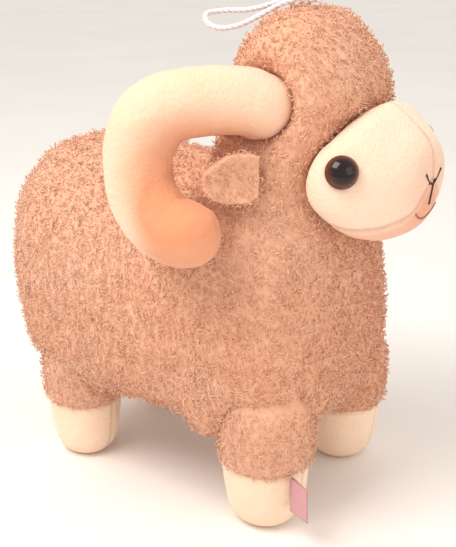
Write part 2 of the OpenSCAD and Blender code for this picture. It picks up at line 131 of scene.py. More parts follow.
class Finish(Tree):
    """A material with one Principled shader, whose even values are set on its own sockets."""

    def __init__(self, name, even):
        self.material = bpy.data.materials.new(name)
        self.material.use_nodes = True
        super().__init__(self.material.node_tree)
        self.shader = self.tree.nodes["Principled BSDF"]
        for label, value in even.items():
            self.shader.inputs[label].default_value = value
        self.place = self.node("ShaderNodeTexCoord", output="Object")

    def grain(self, size, detail=2.0, roughness=0.5):
        """Noise with patches of about this size in metres, spread over 0 to 1."""
        usual_low, usual_high = 0.32, 0.68
        spots = self.node("ShaderNodeTexNoise", {
            "Vector": self.place, "Scale": 0.5 / size, "Detail": detail, "Roughness": roughness})
        return self.node("ShaderNodeMapRange", {
            "Value": spots, "From Min": usual_low, "From Max": usual_high})

    def painted(self, name):
        return self.node("ShaderNodeAttribute", output="Fac", attribute_name=name)

    def mix(self, share, first, second):
        return self.node("ShaderNodeMix", {0: share, 6: first, 7: second}, output=2, data_type="RGBA")

    def feed(self, label, value):
        self.tree.links.new(value.socket, self.shader.inputs[label])

    def bump(self, height, depth):
        self.feed("Normal", self.node("ShaderNodeBump", {"Height": height, "Distance": depth}))


scene = bpy.context.scene
scene.view_settings.view_transform = "Standard"

toward_camera = Vector((
    math.sin(camera_turn) * math.cos(camera_rise),
    -math.cos(camera_turn) * math.cos(camera_rise),
    math.sin(camera_rise)))


def link(name, data):
    made = bpy.data.objects.new(name, data)
    scene.collection.objects.link(made)
    return made


camera = link("camera", bpy.data.cameras.new("camera"))
camera.data.lens = camera_lens
camera.data.clip_start = 0.01
camera.location = look_at + toward_camera * camera_distance
camera.rotation_euler = toward_camera.to_track_quat("Z", "Y").to_euler()
scene.camera = camera

world = bpy.data.worlds.new("studio_sky")
world.use_nodes = True
world.node_tree.nodes["Background"].inputs["Color"].default_value = tone(255, 250, 244)
world.node_tree.nodes["Background"].inputs["Strength"].default_value = 0.88
scene.world = world


def lamp(name, turn, rise, distance, size, watts, colour):
    light = bpy.data.lights.new(name, "AREA")
    light.size = size
    light.energy = watts
    light.color = colour
    stand = link(name, light)
    way = Vector((
        math.sin(turn) * math.cos(rise), -math.cos(turn) * math.cos(rise), math.sin(rise)))
    stand.location = look_at + way * distance
    stand.rotation_euler = way.to_track_quat("Z", "Y").to_euler()


lamp("key_lamp", math.radians(-20), math.radians(56), 0.9, 0.5, 5.6, (1.0, 0.95, 0.88))
lamp("fill_lamp", math.radians(78), math.radians(24), 1.1, 0.7, 1.6, (1.0, 0.93, 0.88))

card = Finish("pale_card", {"Roughness": 0.9})
card.feed("Base Color", card.mix(card.grain(0.08), tone(243, 241, 238), tone(247, 245, 243)))
floor_reach = 6.0
floor_mesh = bpy.data.meshes.new("floor")
floor_mesh.from_pydata(
    [(-floor_reach, -floor_reach, 0), (floor_reach, -floor_reach, 0),
     (floor_reach, floor_reach, 0), (-floor_reach, floor_reach, 0)], [], [(0, 1, 2, 3)])
floor_mesh.materials.append(card.material)
link("floor", floor_mesh)


# Hanging loop -------------------------------------------------------------------------------
# A loop of white satin cord, three strands laid together. It is caught in a knot on the crown
# seam and leans back over the head. The knot is a single overhand turn of the same cord.
cord_diameter = 0.0024
strands = 3
strand_lay = 0.0075
knot_low, knot_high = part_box("cord_knot")
knot_middle = (knot_low + knot_high) / 2
loop_route = [
    (-3, -1, 0), (-7, -3, -0.5), (-13, -8, -3), (-19, -13, -7), (-26, -18, -11), (-33, -21, -12.5),
    (-38, -22.5, -11.5), (-41, -22, -9), (-42, -19, -7), (-40, -15, -6.5), (-36, -12, -6),
    (-31, -9, -6), (-25, -6, -5), (-19, -3, -3), (-13, -1, -1), (-7, 1, 0), (-3, 1, 0)]


def smooth_way(points, parts):
    """A curve through the points, with this many parts between each two."""
    way = []
    for i in range(len(points) - 1):
        before, start, end, after = (
            points[max(i - 1, 0)], points[i], points[i + 1], points[min(i + 2, len(points) - 1)])
        for k in range(parts):
            t = k / parts
            way.append(0.5 * (
                2 * start + (end - before) * t
                + (2 * before - 5 * start + 4 * end - after) * t ** 2
                + (3 * start - before - 3 * end + after) * t ** 3))
    return way + [points[-1]]


def laid_cord(name, way, diameter, turns_of_lay, sides=18, closed=False):
    """A cord of twisted strands along a way, as a closed mesh with a groove share for its colour,
    which darkens it as painted shade between the strands.
    """
    made = bmesh.new()
    share = made.verts.layers.float.new("groove")
    across = Vector((0, 0, 1))
    rings = []
    run = 0.0
    for i, point in enumerate(way):
        before = way[i - 1] if i or closed else point
        after = way[(i + 1) % len(way)] if i + 1 < len(way) or closed else point
        forward = (after - before).normalized()
        across = (across - forward * across.dot(forward)).normalized()
        up = forward.cross(across)
        if i:
            run += (point - way[i - 1]).length
        ring = []
        for k in range(sides):
            turn = 2 * math.pi * k / sides
            lobe = abs(math.cos(strands / 2 * (turn - 2 * math.pi * run / turns_of_lay)))
            reach = diameter / 2 * (0.78 + 0.22 * lobe ** 0.6)
            vert = made.verts.new(point + (across * math.cos(turn) + up * math.sin(turn)) * reach)
            vert[share] = 1 - lobe
            ring.append(vert)
        rings.append(ring)
    for i in range(len(rings) - (0 if closed else 1)):
        for k in range(sides):
            a, b = rings[i], rings[(i + 1) % len(rings)]
            made.faces.new((a[k], a[(k + 1) % sides], b[(k + 1) % sides], b[k]))
    if not closed:
        made.faces.new(list(reversed(rings[0])))
        made.faces.new(rings[-1])
    bmesh.ops.recalc_face_normals(made, faces=made.faces)
    mesh = bpy.data.meshes.new(name)
    made.to_mesh(mesh)
    made.free()
    mesh.shade_smooth()
    return link(name, mesh)


satin = Finish("satin_cord", {
    "Roughness": 0.32, "Sheen Weight": 0.3, "Specular IOR Level": 0.6})
# Painted shade: the grooves between the strands take a darker lavender tone.
satin.feed("Base Color", satin.mix(
    satin.painted("groove") ** 1.5, tone(243, 242, 247), tone(205, 203, 216)))
satin.bump(satin.grain(0.0004, detail=3.0), 0.0002)

cord_way = smooth_way([knot_middle + Vector(p) / 1000 for p in loop_route], 16)
cord_length = sum((b - a).length for a, b in zip(cord_way, cord_way[1:]))
hanging_cord = laid_cord("hanging_cord", cord_way, cord_diameter, strand_lay)
hanging_cord.data.materials.append(satin.material)
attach(hanging_cord, "hanging_loop")
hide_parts("hang_cord")

knot_turns = 64
knot_size = (knot_high - knot_low).x / 2 - cord_diameter * 0.45
knot_way = []
for k in range(knot_turns):
    t = 2 * math.pi * k / knot_turns
    knot_way.append(knot_middle + Vector((
        math.sin(t) + 2 * math.sin(2 * t),
        math.cos(t) - 2 * math.cos(2 * t),
        -1.6 * math.sin(3 * t))) * knot_size / 3)
crown_knot = laid_cord("crown_knot", knot_way, cord_diameter * 0.8, strand_lay, closed=True)
crown_knot.data.materials.append(satin.material)
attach(crown_knot, "torso")
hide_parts("cord_knot")


# Fleece body --------------------------------------------------------------------------------
# The trunk, neck and head are one bag of short curly fleece: two side panels, a belly gusset
# and a crown gusset, sewn edge to edge and stuffed hard. The curls are laid over it by panel.
body_panels = ["side_panel_right", "side_panel_left", "belly_gusset", "crown_gusset"]


def coordinates(mesh):
    flat = np.empty(len(mesh.vertices) * 3)
    mesh.vertices.foreach_get("co", flat)
    return flat.reshape(-1, 3)


def place(mesh, points):
    mesh.vertices.foreach_set("co", points.ravel())
    mesh.update()


def paint(mesh, name, values):
    layer = mesh.attributes.get(name) or mesh.attributes.new(name, "FLOAT", "POINT")
    layer.data.foreach_set("value", np.asarray(values, dtype=np.float32))


def painted(mesh, name):
    values = np.empty(len(mesh.vertices), dtype=np.float32)
    mesh.attributes[name].data.foreach_get("value", values)
    return values


def settle(made):
    """Takes the modifiers' result as the object's own mesh."""
    depsgraph = bpy.context.evaluated_depsgraph_get()
    mesh = bpy.data.meshes.new_from_object(made.evaluated_get(depsgraph))
    made.modifiers.clear()
    made.data = mesh


def solid_tree(*nodes):
    """A search tree over the surfaces of CAD solids."""
    joined = bmesh.new()
    for node in nodes:
        joined.from_mesh(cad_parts[node].data)
    tree = BVHTree.FromBMesh(joined)
    joined.free()
    return tree


def distances(points, tree):
    return np.array([tree.find_nearest(Vector(p))[3] for p in points])


def skin_over(name, nodes, voxel, smoothing):
    """One even, closed mesh over copies of these solids, with its flats eased."""
    joined = bmesh.new()
    for node in nodes:
        joined.from_mesh(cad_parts[node].data)
    bmesh.ops.remove_doubles(joined, verts=joined.verts, dist=1e-6)
    mesh = bpy.data.meshes.new(name)
    joined.to_mesh(mesh)
    joined.free()
    made = link(name, mesh)
    remesh = made.modifiers.new("even", "REMESH")
    remesh.mode = "VOXEL"
    remesh.voxel_size = voxel
    settle(made)
    shell = bmesh.new()
    shell.from_mesh(made.data)
    left = set(shell.verts)
    largest = []
    while left:
        found = [left.pop()]
        for vert in found:
            for edge in vert.link_edges:
                other = edge.other_vert(vert)
                if other in left:
                    left.remove(other)
                    found.append(other)
        if len(found) > len(largest):
            largest = found
    keep = set(largest)
    bmesh.ops.delete(shell, geom=[v for v in shell.verts if v not in keep], context="VERTS")
    for _ in range(smoothing):
        bmesh.ops.smooth_vert(
            shell, verts=shell.verts, factor=0.5, use_axis_x=True, use_axis_y=True, use_axis_z=True)
    shell.to_mesh(made.data)
    shell.free()
    return made


def stuff(made, held, most, pressure=4.0, frames=20):
    """Fills the bag: cloth under pressure, sewn fast where held is 1, moved by most at most."""
    rest = coordinates(made.data)
    seam = made.vertex_groups.new(name="seam")
    for index, share in enumerate(held):
        if share > 0.02:
            seam.add([index], float(share), "REPLACE")
    cloth = made.modifiers.new("cloth", "CLOTH")
    settings = cloth.settings
    settings.quality = 5
    settings.mass = 0.3
    settings.tension_stiffness = 12
    settings.compression_stiffness = 12
    settings.bending_stiffness = 0.6
    settings.use_pressure = True
    settings.uniform_pressure_force = pressure
    settings.effector_weights.gravity = 0
    settings.vertex_group_mass = "seam"
    cloth.collision_settings.use_collision = False
    cloth.collision_settings.use_self_collision = False
    cloth.point_cache.frame_start = 1
    cloth.point_cache.frame_end = frames
    for number in range(1, frames + 1):
        scene.frame_set(number)
    settle(made)
    scene.frame_set(1)
    move = coordinates(made.data) - rest
    reach = np.linalg.norm(move, axis=1, keepdims=True)
    place(made.data, rest + move * np.minimum(1, most / np.maximum(reach, 1e-9)))
    made.vertex_groups.clear()


def refine(made, levels):
    """Rounds the mesh by subdivision, and keeps its painted values."""
    rounder = made.modifiers.new("rounder", "SUBSURF")
    rounder.levels = levels
    rounder.render_levels = levels
    settle(made)
    made.data.shade_smooth()


def ripple(points, size, seed):
    """Soft noise from -1 to 1 at each point, with lumps of this size."""
    shift = Vector((seed * 7.3, seed * 3.1, seed * 5.7))
    return np.array([noise.noise(Vector(p) / size + shift) for p in points])


def seam_gap(points, panels):
    """How much nearer each point is to its own panel than to the next one: 0 on a seam."""
    spans = np.sort(np.array([distances(points, tree) for tree in panels]), axis=0)
    return spans[1] - spans[0]


def push_out(mesh, amounts):
    points = coordinates(mesh)
    normals = np.empty(len(mesh.vertices) * 3)
    mesh.vertices.foreach_get("normal", normals)
    place(mesh, points + normals.reshape(-1, 3) * np.asarray(amounts)[:, None])


def fade(values, low, high):
    share = np.clip((np.asarray(values) - low) / (high - low), 0, 1)
    return share * share * (3 - 2 * share)


fleece = Finish("curly_fleece", {
    "Roughness": 0.88, "Sheen Weight": 0.35, "Sheen Roughness": 0.45,
    "Sheen Tint": tone(255, 226, 205)})
fleece_patch = fleece.grain(0.03, detail=3.0)
fleece_fleck = fleece.grain(0.0022, detail=2.0, roughness=0.65)
fleece_cloud = fleece.grain(0.012, detail=3.0)
fleece_along = fleece.node("ShaderNodeSeparateXYZ", {"Vector": fleece.place})
fleece_rump = fleece.node("ShaderNodeMapRange", {
    "Value": fleece_along, "From Min": 0.02, "From Max": -0.10})
# Darker tone for the cover and the curl roots: painted shade between the curls.
fleece_root_shade = fleece.mix(fleece_patch, tone(226, 167, 134), tone(229, 177, 149))
fleece_tip = fleece.mix(fleece_patch, tone(239, 191, 161), tone(240, 199, 175))
fleece_tip = fleece.mix(fleece_cloud * 0.6, fleece_tip, tone(235, 178, 143))
fleece_tip = fleece.mix(fleece_rump * 0.6, fleece_tip, tone(239, 208, 187))
fleece_tip = fleece.mix(fleece.painted("light") ** 3 * 0.5, fleece_tip, tone(252, 220, 196))
# The cover and the curl roots take the darker tone as painted shade between the curls; the tips are
# lighter.
fleece_height = fleece.painted("tip") * 0.7 + fleece_fleck * 0.4
fleece.feed("Base Color", fleece.mix(fleece_height, fleece_root_shade, fleece_tip))
fleece.bump(fleece_fleck, 0.0007)


def curl_tree():
    """A geometry tree that sets small bent, tapered curls over a surface where it is painted."""
    group = bpy.data.node_groups.new("fleece_curls", "GeometryNodeTree")
    face = group.interface
    face.new_socket("Geometry", in_out="INPUT", socket_type="NodeSocketGeometry")
    for label, kind in (("Region", "String"), ("Spacing", "Float"), ("Length", "Float"),
                        ("Thickness", "Float"), ("Spread", "Float"), ("Lay", "Vector"),
                        ("Seed", "Int"), ("Finish", "Material")):
        face.new_socket(label, in_out="INPUT", socket_type="NodeSocket" + kind)
    face.new_socket("Geometry", in_out="OUTPUT", socket_type="NodeSocketGeometry")
    tree = Tree(group)
    entry = group.nodes.new("NodeGroupInput")
    given = {socket.name: Value(tree, socket) for socket in entry.outputs if socket.name}
    growth = tree.node("GeometryNodeInputNamedAttribute", {"Name": given["Region"]}, data_type="FLOAT")
    points = tree.node("GeometryNodeDistributePointsOnFaces", {
        "Mesh": given["Geometry"], "Distance Min": given["Spacing"], "Density Max": 1e6,
        "Density Factor": growth, "Seed": given["Seed"]}, distribute_method="POISSON")
    normal = Value(tree, points.socket.node.outputs["Normal"])
    stray = tree.node("FunctionNodeRandomValue", {
        0: (-1, -1, -1), 1: (1, 1, 1), "Seed": given["Seed"]}, data_type="FLOAT_VECTOR")
    stray = tree.node("ShaderNodeVectorMath", {0: stray, "Scale": given["Spread"]}, operation="SCALE")
    way = tree.node("ShaderNodeVectorMath", {0: normal, 1: stray}, operation="ADD")
    way = tree.node("ShaderNodeVectorMath", {0: way, 1: given["Lay"]}, operation="ADD")
    stand = tree.node("FunctionNodeAlignRotationToVector", {"Vector": way}, axis="Z")
    spin = tree.node("FunctionNodeRandomValue", {
        0: (0, 0, 0), 1: (0, 0, 2 * math.pi), "Seed": given["Seed"] + 1}, data_type="FLOAT_VECTOR")
    spin = tree.node("FunctionNodeEulerToRotation", {0: spin})
    turn = tree.node("FunctionNodeRotateRotation", {0: stand, 1: spin}, rotation_space="LOCAL")
    size = tree.node("FunctionNodeRandomValue", {
        2: 0.65, 3: 1.3, "Seed": given["Seed"] + 2}, output=1, data_type="FLOAT")
    height = given["Length"]
    line = tree.node("GeometryNodeCurveQuadraticBezier", {
        "Resolution": 2,
        "Start": (0, 0, 0),
        "Middle": tree.node("ShaderNodeCombineXYZ", {"X": height * 0.05, "Z": height * 0.75}),
        "End": tree.node("ShaderNodeCombineXYZ", {"X": height * 0.75, "Z": height * 0.62})})
    along = tree.node("GeometryNodeSplineParameter")
    line = tree.node("GeometryNodeStoreNamedAttribute", {
        "Geometry": line, "Name": "tip", "Value": along}, data_type="FLOAT", domain="POINT")
    line = tree.node("GeometryNodeSetCurveRadius", {
        "Curve": line, "Radius": 1 - along * along * 0.8})
    ring = tree.node("GeometryNodeCurvePrimitiveCircle", {
        "Resolution": 3, "Radius": given["Thickness"]})
    curl = tree.node("GeometryNodeCurveToMesh", {
        "Curve": line, "Profile Curve": ring, "Fill Caps": True})
    curls = tree.node("GeometryNodeInstanceOnPoints", {
        "Points": points, "Instance": curl, "Rotation": turn, "Scale": size})
    light = tree.node("FunctionNodeRandomValue", {
        2: 0.0, 3: 1.0, "Seed": given["Seed"] + 3}, output=1, data_type="FLOAT")
    curls = tree.node("GeometryNodeStoreNamedAttribute", {
        "Geometry": curls, "Name": "light", "Value": light}, data_type="FLOAT", domain="INSTANCE")
    curls = tree.node("GeometryNodeRealizeInstances", {"Geometry": curls})
    curls = tree.node("GeometryNodeSetMaterial", {"Geometry": curls, "Material": given["Finish"]})
    leave = group.nodes.new("NodeGroupOutput")
    group.links.new(curls.socket, leave.inputs[0])
    return group


curls_group = curl_tree()
curl_inputs = {item.name: item.identifier for item in curls_group.interface.items_tree
               if item.in_out == "INPUT"}


def grow(name, cover, region, body, seed, spacing=0.00118, length=0.0025, thickness=0.00025,
         spread=0.72, lay=(-0.15, 0, -0.55)):
    """Curls over one panel of a cover, as a piece of their own."""
    pile = link(name, cover.data.copy())
    grower = pile.modifiers.new("curls", "NODES")
    grower.node_group = curls_group
    for label, value in (("Region", region), ("Spacing", spacing), ("Length", length),
                         ("Thickness", thickness), ("Spread", spread), ("Lay", lay),
                         ("Seed", seed), ("Finish", fleece.material)):
        grower[curl_inputs[label]] = value
    settle(pile)
    pile.data.shade_smooth()
    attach(pile, body)
    return pile


def keep_rest(mesh):
    """Paints each point's place on the mesh before it is stuffed, and returns the places."""
    points = coordinates(mesh)
    for column, axis in enumerate("xyz"):
        paint(mesh, "rest_" + axis, points[:, column])
    return points


def rest_points(mesh):
    return np.stack([painted(mesh, "rest_" + axis) for axis in "xyz"], axis=1).astype(float)


body_voxel = 0.005
body = skin_over("stuffed_body", body_panels + ["body_filling"], body_voxel, 5)
panel_trees = [solid_tree(node) for node in body_panels]
body_rest = keep_rest(body.data)
stuff(body, 1 - fade(seam_gap(body_rest, panel_trees), 0.001, 0.004), 0.0025)
refine(body, 2)
body_rest = rest_points(body.data)
body_spans = np.array([distances(body_rest, tree) for tree in panel_trees])
body_seam = np.sort(body_spans, axis=0)
body_seam = 1 - fade(body_seam[1] - body_seam[0], 0.0, 0.004)
outside = 1 - fade(body_spans.min(axis=0), 0.0015, 0.004)
joining = [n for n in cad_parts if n.startswith(("horn_front", "horn_back", "front_leg_sleeve",
                                                      "hind_leg_sleeve", "face_", "chin_"))]
clear_of = fade(distances(body_rest, solid_tree(*joining)), 0.0002, 0.0012)
push_out(body.data, 0.0009 * ripple(body_rest, 0.011, 1) * clear_of
         + 0.0006 * ripple(body_rest, 0.0045, 2) * clear_of - 0.0010 * body_seam * clear_of)
body_points = coordinates(body.data)
for end, sag in (("front", 0.009), ("hind", 0.004)):
    for side in ("right", "left"):
        leg_low, leg_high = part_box(end + "_leg_sleeve_" + side)
        leg_middle = (leg_low + leg_high) / 2
        beside = np.hypot(body_rest[:, 0] - leg_middle.x, body_rest[:, 1] - leg_middle.y)
        near = 1 - fade(beside, 0.027, 0.042)
        near *= 1 - fade(body_rest[:, 2], leg_high.z - 0.016, leg_high.z + 0.006)
        near *= fade(abs(body_rest[:, 1]), 0.018, 0.036)
        body_points[:, 2] -= sag * near
place(body.data, body_points)
body.data.materials.clear()
body.data.materials.append(fleece.material)
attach(body, "torso")
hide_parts(*body_panels, "body_filling")
nearest_panel = body_spans.argmin(axis=0)
for number, node in enumerate(body_panels):
    paint(body.data, node, (nearest_panel == number) * outside * clear_of)
for number, node in enumerate(body_panels):
    grow(node + "_curls", body, node, "torso", 10 + number)


# Face ---------------------------------------------------------------------------------------
# A smooth cream velour mask: a left and a right cheek joined down the nose, and a warmer chin
# gusset below. It is sewn into the fleece round its edge and stuffed with the head.
face_panels = ["face_right", "face_left", "chin_gusset"]


def velour(name, light, deep, tint_and_shade_tone, slack=0.4):
    """Short cream velour: cloudy tone, a fine nap, painted shade along the seam creases, and a warmer
    tone where painted: painted shade and bounce light on the horns and feet, warmer towards chin and
    muzzle on the face.
    """
    cloth = Finish(name, {
        "Roughness": 0.82, "Sheen Weight": 0.25, "Sheen Roughness": 0.4,
        "Subsurface Weight": 0.12, "Subsurface Radius": (0.006, 0.0025, 0.0015),
        "Subsurface Scale": 1.0})
    cloud = cloth.grain(0.022, detail=2.0)
    nap = cloth.grain(0.0009, detail=3.0, roughness=0.7)
    colour = cloth.mix(cloud * slack, light, deep)
    colour = cloth.mix(nap * 0.10, colour, tone(255, 246, 232))
    # Where painted, the colour turns orange: painted shade and bounce light on the horns and feet,
    # warmer towards chin and muzzle on the face.
    colour = cloth.mix(cloth.painted("warm"), colour, tint_and_shade_tone)
    # Painted shade in the seam creases: the seam lines take a darker orange-brown.
    colour = cloth.mix(cloth.painted("seam") * 0.55, colour, tone(206, 140, 104))
    cloth.feed("Base Color", colour)
    cloth.bump(nap + cloth.grain(0.004) * 0.8, 0.00025)
    return cloth.material


face_velour = velour("face_velour", tone(249, 218, 194), tone(247, 209, 182), tone(232, 162, 128))
face = skin_over("stuffed_face", face_panels + ["muzzle_filling"], 0.004, 4)
face_trees = [solid_tree(node) for node in face_panels]
face_rest = keep_rest(face.data)
stuff(face, 1 - fade(seam_gap(face_rest, face_trees), 0.001, 0.0035), 0.0018)
refine(face, 2)
face_rest = rest_points(face.data)
face_spans = np.array([distances(face_rest, tree) for tree in face_trees])
face_order = np.sort(face_spans, axis=0)
face_seam = 1 - fade(face_order[1] - face_order[0], 0.0, 0.0011)
chin = fade(face_spans[:2].min(axis=0) - face_spans[2], -0.001, 0.004)
nose_low, nose_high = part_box("nose_stitching")
nose_middle = (nose_low + nose_high) / 2
muzzle = 1 - fade(np.linalg.norm(face_rest - np.array(nose_middle), axis=1), 0.008, 0.026)
# Painted shade in the seam creases.
paint(face.data, "seam", face_seam * 0.8)
paint(face.data, "warm", np.clip(chin * 0.62 + muzzle * 0.34, 0, 1))
push_out(face.data, 0.0005 * ripple(face_rest, 0.016, 3) - 0.0008 * face_seam)
face.data.materials.clear()
face.data.materials.append(face_velour)
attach(face, "torso")
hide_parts(*face_panels, "muzzle_filling")


# Eyes ---------------------------------------------------------------------------------------
# Safety eyes: a clear glossy dome over a brown iris and a black pupil, on a plastic stem that
# goes through the cheek and is locked inside by a toothed washer.
eye_gloss = Finish("eye_gloss", {"Roughness": 0.07, "Specular IOR Level": 0.42})
eye_radius = eye_gloss.painted("from_middle")
eye_gloss.feed("Base Color", eye_gloss.node("ShaderNodeValToRGB", {"Fac": eye_radius}, stops=[
    (0.0, tone(20, 9, 9)), (0.55, tone(26, 12, 11)), (0.74, tone(60, 28, 20)),
    (0.90, tone(104, 56, 34)), (1.0, tone(52, 30, 26))]))

washer_plastic = Finish("washer_plastic", {"Roughness": 0.4})
washer_plastic.feed("Base Color", washer_plastic.mix(
    washer_plastic.grain(0.003), tone(232, 230, 224), tone(240, 238, 233)))

eye_sides = 64
for side in ("right", "left"):
    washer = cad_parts["eye_washer_" + side]
    washer.data.materials.clear()
    washer.data.materials.append(washer_plastic.material)
    eye_points = coordinates(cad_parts["eye_" + side].data)
    washer_low, washer_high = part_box("eye_washer_" + side)
    middle = Vector((washer_low + washer_high) / 2)
    ahead = (Vector(eye_points.mean(axis=0)) - middle).normalized()
    heights = (eye_points - np.array(middle)) @ np.array(ahead)
    spans = np.linalg.norm(
        eye_points - np.array(middle) - heights[:, None] * np.array(ahead), axis=1)
    brim = float(spans.max())
    seat = float(heights[spans > 0.98 * brim].min())
    top = float(heights.max())
    outline = [(0.0, top)]
    dome_parts = 16
    for k in range(1, dome_parts + 1):
        turn = math.pi / 2 * k / dome_parts
        outline.append((brim * math.sin(turn), seat + 0.0006 + (top - seat - 0.0006) * math.cos(turn)))
    outline += [(brim, seat), (brim * 0.94, seat - 0.0006), (0.0, seat - 0.0008)]
    across = ahead.orthogonal().normalized()
    up = ahead.cross(across)
    dome = bmesh.new()
    share = dome.verts.layers.float.new("from_middle")
    rings = []
    for reach, height in outline:
        if reach == 0:
            ring = [dome.verts.new(middle + ahead * height)]
        else:
            ring = [dome.verts.new(middle + ahead * height + reach * (
                across * math.cos(2 * math.pi * k / eye_sides)
                + up * math.sin(2 * math.pi * k / eye_sides))) for k in range(eye_sides)]
        for vert in ring:
            vert[share] = reach / brim
        rings.append(ring)
    for first, second in zip(rings, rings[1:]):
        for k in range(eye_sides):
            j = (k + 1) % eye_sides
            corners = [first[k % len(first)], second[k % len(second)], second[j % len(second)],
                       first[j % len(first)]]
            dome.faces.new(list(dict.fromkeys(corners)))
    bmesh.ops.recalc_face_normals(dome, faces=dome.faces)
    mesh = bpy.data.meshes.new("eye_dome_" + side)
    dome.to_mesh(mesh)
    dome.free()
    mesh.shade_smooth()
    mesh.materials.append(eye_gloss.material)
    eye_dome = link("eye_dome_" + side, mesh)
    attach(eye_dome, "torso")
    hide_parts("eye_" + side)


# Nose and mouth -----------------------------------------------------------------------------
# Hand stitches in heavy thread, drawn tight into the velour: a dark Y for the nostrils and lip,
# and a thinner brown line, curved up at both ends, for the mouth.
thread_dark = Finish("thread_dark", {"Roughness": 0.6})
thread_dark.feed("Base Color", thread_dark.mix(
    thread_dark.grain(0.0006), tone(34, 25, 24), tone(58, 42, 38)))
thread_brown = Finish("thread_brown", {"Roughness": 0.65})
thread_brown.feed("Base Color", thread_brown.mix(
    thread_brown.grain(0.0006), tone(176, 106, 88), tone(150, 84, 70)))
face_skin = bmesh.new()
face_skin.from_mesh(face.data)
face_surface = BVHTree.FromBMesh(face_skin)
face_skin.free()


def on_face(y, z, lift):
    """The point of the velour straight behind this one, as seen from in front of the nose."""
    start = Vector((cad_box[1].x + 0.05, y, z))
    hit, normal, _, _ = face_surface.ray_cast(start, Vector((-1, 0, 0)))
    if hit is None:
        hit, normal, _, _ = face_surface.find_nearest(Vector((nose_middle.x, y, z)))
    return hit + normal * lift


def stitched(name, corners, diameter, material, node):
    """Thread laid on the face along each run of corners, joined into one piece."""
    parts = []
    for run in corners:
        way = smooth_way([on_face(y, z, diameter * 0.12) for y, z in run], 8)
        parts.append(laid_cord(name, way, diameter, diameter * 3, sides=10))
    joined = bmesh.new()
    for part in parts:
        joined.from_mesh(part.data)
        bpy.data.objects.remove(part)
    mesh = bpy.data.meshes.new(name)
    joined.to_mesh(mesh)
    joined.free()
    mesh.shade_smooth()
    mesh.materials.append(material)
    piece = link(name, mesh)
    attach(piece, "torso")
    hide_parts(node)


nose_edge = 0.0006
nostril_y = nose_high.y - nose_edge
nose_top = nose_high.z - nose_edge
nose_foot = nose_low.z + nose_edge
lip_z = nose_foot + 0.63 * (nose_top - nose_foot)
stitched("nose_stitches", [
    [(-nostril_y, nose_top), (-0.45 * nostril_y, lip_z + 0.0012), (0, lip_z)],
    [(nostril_y, nose_top), (0.45 * nostril_y, lip_z + 0.0012), (0, lip_z)],
    [(0, lip_z), (0, nose_foot)]], 0.0011, thread_dark.material, "nose_stitching")
mouth_low, mouth_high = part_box("mouth_stitching")
mouth_steps = 10
mouth_line = []
for k in range(mouth_steps + 1):
    share = 2 * k / mouth_steps - 1
    mouth_line.append((
        share * (mouth_high.y - nose_edge),
        mouth_low.z + nose_edge + (mouth_high.z - mouth_low.z - 2 * nose_edge) * share ** 2))
stitched("mouth_stitches", [mouth_line], 0.0008, thread_brown.material, "mouth_stitching")


# Horns --------------------------------------------------------------------------------------
# Blunt cream velour tubes, each cut as a front and a back half, sewn along both edges, stuffed
# and curled by gathering the inner seam. The root ring is hand sewn to the side of the head.
horn_velour = velour("horn_velour", tone(246, 208, 182), tone(245, 200, 160), tone(222, 138, 92), 0.5)
for side, sign in (("right", -1), ("left", 1)):
    halves = ["horn_front_" + side, "horn_back_" + side]
    horn = skin_over("stuffed_horn_" + side, halves + ["horn_filling_" + side], 0.0035, 4)
    horn_trees = [solid_tree(node) for node in halves]
    horn_rest = keep_rest(horn.data)
    stuff(horn, 1 - fade(seam_gap(horn_rest, horn_trees), 0.0008, 0.003), 0.0016)
    refine(horn, 2)
    horn_rest = rest_points(horn.data)
    horn_seam = 1 - fade(seam_gap(horn_rest, horn_trees), 0.0, 0.0012)
    horn_low, horn_high = horn_rest.min(axis=0), horn_rest.max(axis=0)
    curl_middle = np.array([
        horn_low[0] + 0.62 * (horn_high[0] - horn_low[0]), 0,
        horn_low[2] + 0.5 * (horn_high[2] - horn_low[2])])
    from_curl = np.hypot(horn_rest[:, 0] - curl_middle[0], horn_rest[:, 2] - curl_middle[2])
    inner = 1 - fade(from_curl, 0.008, 0.030)
    tip_shade = fade(horn_rest[:, 0], horn_low[0] + 0.016, horn_low[0] + 0.034)
    tip_shade *= 1 - fade(horn_rest[:, 2], horn_low[2] + 0.022, horn_low[2] + 0.040)
    gather = inner * ripple(horn_rest, 0.006, 5 + sign)
    # Painted shade in the seam creases.
    paint(horn.data, "seam", horn_seam * 0.55)
    # Painted shade and bounce light: orange on the inner side of the curl and on the tip.
    paint(horn.data, "warm", np.clip(inner * 0.8 + tip_shade * 0.75, 0, 0.85))
    push_out(horn.data, 0.0006 * ripple(horn_rest, 0.014, 7) + 0.0006 * gather - 0.0006 * horn_seam)
    horn.data.materials.clear()
    horn.data.materials.append(horn_velour)
    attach(horn, side + "_horn")
    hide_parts(*halves, "horn_filling_" + side)


# Ears ---------------------------------------------------------------------------------------
# Two layers of the same fleece sewn round the edge and turned, with the hollow side forward.
# The root is folded into a short pleat and sewn to the head below the horn.
for side, sign in (("right", -1), ("left", 1)):
    layers = ["ear_outer_" + side, "ear_inner_" + side]
    ear = skin_over("ear_" + side, layers, 0.0017, 4)
    ear_trees = [solid_tree(node) for node in layers]
    refine(ear, 1)
    ear_points = coordinates(ear.data)
    ear_seam = 1 - fade(seam_gap(ear_points, ear_trees), 0.0, 0.0012)
    push_out(ear.data, 0.0005 * ripple(ear_points, 0.006, 9) - 0.0004 * ear_seam)
    paint(ear.data, "curls", np.ones(len(ear_points)))
    ear.data.materials.clear()
    ear.data.materials.append(fleece.material)
    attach(ear, side + "_ear")
    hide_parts(*layers)
    grow("ear_" + side + "_curls", ear, "curls", side + "_ear", 20 + sign, spacing=0.0012,
         length=0.0019, thickness=0.00025, spread=0.8, lay=(-0.3, 0, -0.3))


